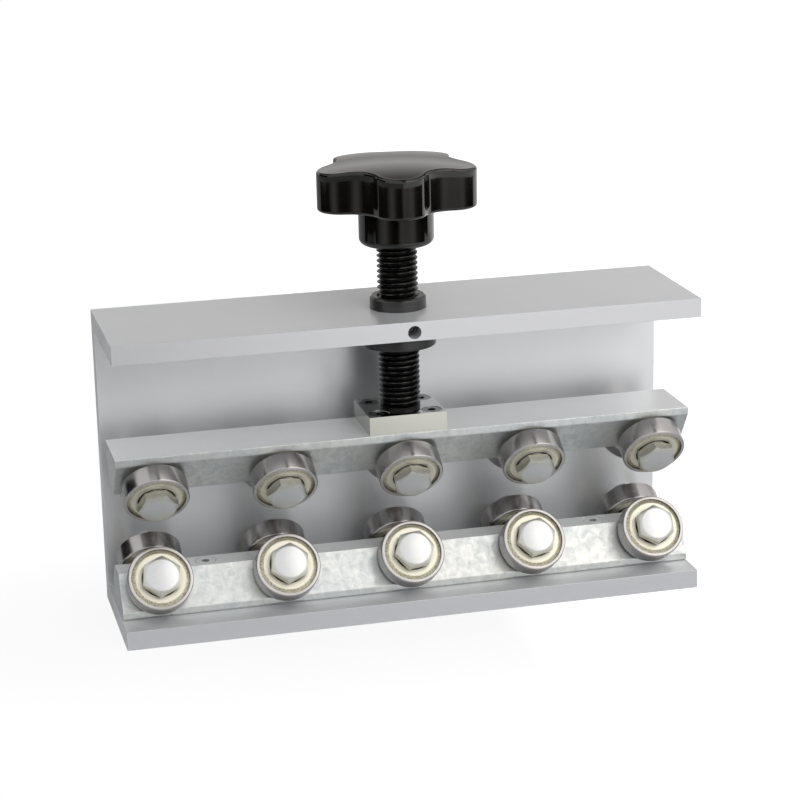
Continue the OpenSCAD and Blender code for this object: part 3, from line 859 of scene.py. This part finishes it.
def make_knob():
    """Five-lobed knob with a domed top and a round hub."""
    steps = 300
    base, top = KNOB_LOW.z, KNOB_HIGH.z
    under = base + HUB_H
    reach = LOBE_AT + LOBE_R
    dome_r = (reach ** 2 + DOME_H ** 2) / (2 * DOME_H)

    def dome(r):
        return top - dome_r + sqrt(dome_r ** 2 - r ** 2)

    def outline(inset):
        return lambda a: star_radius(a, inset)

    def top_edge(rise):
        return lambda a: dome(star_radius(a, LOBE_ROUND)) - LOBE_ROUND + rise

    def side(share):
        return lambda a: (1 - share) * (under + LOBE_ROUND) + share * top_edge(0)(a)

    sink, mouth, fillet = 3 * MM, 0.4 * MM, 1.2 * MM
    rings = [ring(INSERT_R, base + sink, steps), ring(INSERT_R, base + mouth, steps),
             ring(INSERT_R + mouth, base, steps)]
    quarter = [radians(90 * n / 8) for n in range(9)]
    rings += [ring(HUB_R - HUB_ROUND * (1 - sin(q)), base + HUB_ROUND * (1 - cos(q)), steps) for q in quarter]
    rings += [ring(HUB_R + fillet * (1 - cos(q)), under - fillet * (1 - sin(q)), steps) for q in quarter]
    rings += [ring(outline(LOBE_ROUND * (1 - sin(q))), under + LOBE_ROUND * (1 - cos(q)), steps)
              for q in quarter]
    rings += [ring(outline(0), side(n / 6), steps) for n in range(1, 6)]
    rings += [ring(outline(LOBE_ROUND * (1 - cos(q))), top_edge(LOBE_ROUND * sin(q)), steps)
              for q in quarter]
    for n in range(1, 16):
        share = 1 - n / 16
        rings.append(ring(lambda a, s=share: s * star_radius(a, LOBE_ROUND),
                          lambda a, s=share: dome(s * star_radius(a, LOBE_ROUND)), steps))
    rings.append([(0, 0, top)])
    knob = shade(rings_mesh("knob", rings), 60)
    moved(knob, Matrix.Translation((0, AXIS_Y, 0)) @ Matrix.Rotation(KNOB_TURN, 4, "Z"))
    dress(knob, PHENOLIC)
    return stand_for(knob, "spindle", "star_knob")


make_channel()
make_bar("lower_roller_bar", "lower_bar", "frame", True)
make_bar("upper_roller_bar", "upper_bar", "carriage", False)
make_rows()
make_screws()
make_foot_plate()
make_nut_bush()
make_grub_screw()
make_spindle()
make_knob()

# CAD nodes whose shape is right keep it, and only get a finish
CAD_FINISH = {"inner_rings": (RING_STEEL, "bearing"), "spacers": (BRIGHT_ZINC, "bolt"),
              "balls": (RING_STEEL, "balls"), "knob_insert": (BRASS, "insert")}
for name, node in frame["nodes"].items():
    for word, (material, slot) in CAD_FINISH.items():
        if word in name:
            dress(node, material)


# Stage: floor, studio cards, light and camera

def either(tree, first, second):
    """The larger of two values."""
    most = tree.nodes.new("ShaderNodeMath")
    most.operation = "MAXIMUM"
    tree.links.new(first, most.inputs[0])
    tree.links.new(second, most.inputs[1])
    return most.outputs[0]


def ray_kinds(tree):
    """Two values: 1 for a ray from the camera, and 1 for a ray from a mirror or glass."""
    path = tree.nodes.new("ShaderNodeLightPath").outputs
    return path["Is Camera Ray"], either(tree, path["Is Glossy Ray"], path["Is Transmission Ray"])


def make_world():
    """Soft light on the object, and plain white for the camera and for mirrors."""
    world = bpy.data.worlds.new("studio")
    world.use_nodes = True
    bpy.context.scene.world = world
    tree = world.node_tree
    soft = tree.nodes["Background"]
    soft.inputs["Color"].default_value = (0.96, 0.98, 1.0, 1)
    soft.inputs["Strength"].default_value = 0.4
    white = tree.nodes.new("ShaderNodeBackground")
    white.inputs["Color"].default_value = (1, 1, 1, 1)
    mix = tree.nodes.new("ShaderNodeMixShader")
    tree.links.new(either(tree, *ray_kinds(tree)), mix.inputs["Fac"])
    tree.links.new(soft.outputs[0], mix.inputs[1])
    tree.links.new(white.outputs[0], mix.inputs[2])
    tree.links.new(mix.outputs[0], tree.nodes["World Output"].inputs["Surface"])


def make_floor():
    """A white floor with a soft shadow close to the object. Mirrors show it darker on the left and brighter
    on the right: painted light, for a floor lit more from the right.
    """
    size = 4.0
    floor = block("floor", Vector((-size, -size, -0.02)), Vector((size, size, -0.0002)))
    paint = Paint("pale_floor", (0.66, 0.66, 0.67), 0.0, 0.9)
    paint.set("Specular IOR Level", 0.0)
    tree = paint.tree
    white = tree.nodes.new("ShaderNodeEmission")
    mix = tree.nodes.new("ShaderNodeMixShader")
    away = paint.node("VectorMath", {0: paint.coords((0.4, 1, 0))}, operation="LENGTH").outputs["Value"]
    seen, mirrored = ray_kinds(tree)
    plain_seen = paint.math("MULTIPLY", seen, paint.span(away, 0.88, 1.0, 0.03, 0.085))
    plain_mirrored = paint.math("MULTIPLY", mirrored, paint.span(away, 0.05, 1.0, 0.09, 0.25))
    # Painted light: the floor's glow in mirrors rises from left to right, as if lit more from the right
    painted_floor_light = paint.span(paint.along("X"), 0.40, 1.24, -0.06, 0.06)
    tree.links.new(either(tree, seen, painted_floor_light), white.inputs["Strength"])
    tree.links.new(either(tree, plain_seen, plain_mirrored), mix.inputs["Fac"])
    tree.links.new(paint.shader.outputs[0], mix.inputs[1])
    tree.links.new(white.outputs[0], mix.inputs[2])
    tree.links.new(mix.outputs[0], tree.nodes["Material Output"].inputs["Surface"])
    floor.data.materials.append(paint.material)


def make_card_material():
    """A glow in the tone that each point of a card carries."""
    material = bpy.data.materials.new("studio_card")
    material.use_nodes = True
    tree = material.node_tree
    tone = tree.nodes.new("ShaderNodeVertexColor")
    tone.layer_name = "tone"
    glow = tree.nodes.new("ShaderNodeEmission")
    tree.links.new(tone.outputs["Color"], glow.inputs["Color"])
    tree.links.new(glow.outputs[0], tree.nodes["Material Output"].inputs["Surface"])
    return material


def studio_card(name, rungs):
    """A studio card that only mirrors show: a strip over rungs of (point, point, grey tone)."""
    bm = bmesh.new()
    pairs = [(bm.verts.new(a), bm.verts.new(b)) for a, b, _ in rungs]
    for (a, b), (c, d) in zip(pairs, pairs[1:]):
        bm.faces.new((a, b, d, c))
    mesh = bpy.data.meshes.new(name)
    bm.to_mesh(mesh)
    bm.free()
    tones = mesh.attributes.new("tone", "FLOAT_COLOR", "POINT").data
    for i, (_, _, tone) in enumerate(rungs):
        tones[2 * i].color = tones[2 * i + 1].color = (tone, 0.97 * tone, 0.945 * tone, 1)
    mesh.materials.append(CARD_GLOW)
    card = bpy.data.objects.new(name, mesh)
    bpy.context.scene.collection.objects.link(card)
    card.visible_camera = False
    card.visible_diffuse = False
    card.visible_shadow = False
    card.visible_transmission = False


def fan(angle, *ends):
    """Points at (distance, height) from the object's middle, at an angle right of the front in degrees."""
    a = radians(angle)
    return [(distance * sin(a), -distance * cos(a), height) for distance, height in ends]


def make_lamp(name, place, target, size, power):
    """A soft white area lamp that mirrors don't show."""
    data = bpy.data.lights.new(name, "AREA")
    data.shape = "RECTANGLE"
    data.size, data.size_y = size
    data.energy = power
    lamp = bpy.data.objects.new(name, data)
    lamp.location = place
    lamp.rotation_euler = (Vector(target) - Vector(place)).to_track_quat("-Z", "Y").to_euler()
    lamp.visible_glossy = False
    bpy.context.scene.collection.objects.link(lamp)


def make_camera():
    """A camera at the photograph's place and angle."""
    azimuth, elevation, roll = radians(-13.76), radians(16.28), radians(-1.24)
    back = Vector((sin(azimuth) * cos(elevation), -cos(azimuth) * cos(elevation), sin(elevation)))
    right = Vector((0, 0, 1)).cross(back).normalized()
    up = back.cross(right)
    right, up = right * cos(roll) + up * sin(roll), up * cos(roll) - right * sin(roll)
    turned = Matrix((right, up, back)).transposed()
    data = bpy.data.cameras.new("camera")
    data.sensor_width = 36
    data.lens = 106.97
    camera = bpy.data.objects.new("camera", data)
    camera.matrix_world = Matrix.Translation((-0.1848, -0.7582, 0.2980)) @ turned.to_4x4()
    bpy.context.scene.collection.objects.link(camera)
    bpy.context.scene.camera = camera


make_world()
make_floor()
CARD_GLOW = make_card_material()
FRONT_TONES = [(-124, 0.01), (-76, 0.01), (-60, 0.45), (-50, 0.6), (-32, 0.1), (-22, 0.01), (-10, 0.01),
               (0, 0.55), (16, 0.5), (36, 0.65), (52, 0.1), (66, 0.01), (96, 0.01)]
ABOVE_TONES = [(2, 0.7), (11, 0.8), (16, 1.95), (24, 2.2), (36, 2.05), (48, 2.0), (60, 2.0), (72, 2.0)]
PALE_TONES = [(-0.001, 0.6), (0.8, 0.5), (1.9, 0.3)]
KNOB_TONES = [(0.12, 0.5), (0.19, 0.52), (0.225, 1.0), (0.25, 0.85), (0.32, 0.15), (0.6, 0.03)]
DARK_CORNER = [(-2.6, -0.4), (-2.6, 2.4), (-0.8, 2.4)]
studio_card("front_card", [(*fan(a, (0.37, 0.001), (0.85, 0.001)), tone) for a, tone in FRONT_TONES])
studio_card("bright_above", [(*fan(a, (2.0, 0.6), (0.6, 2.6)), tone) for a, tone in ABOVE_TONES])
studio_card("dark_above", [((x, -1.5, 2.0), (x, 1.5, 2.0), 0.01) for x in (0.10, 0.42)])
studio_card("pale_back", [((-4, 2.5, z), (4, 2.5, z), tone) for z, tone in PALE_TONES])
studio_card("knob_back", [((-0.3, 0.25, z), (0.3, 0.25, z), tone) for z, tone in KNOB_TONES])
studio_card("dark_back", [((x, y, -0.001), (x, y, 1.9), 0.01) for x, y in DARK_CORNER])
make_lamp("key", (0.35, -1.25, 1.05), (0, 0, 0.05), (1.4, 1.0), 16)
make_lamp("left", (-1.2, -0.2, 0.9), (0, 0, 0.06), (0.8, 1.2), 1.5)
make_lamp("right", (1.2, -0.3, 0.9), (0, 0, 0.06), (0.8, 1.2), 1.5)
make_camera()
bpy.context.scene.view_settings.view_transform = "Standard"
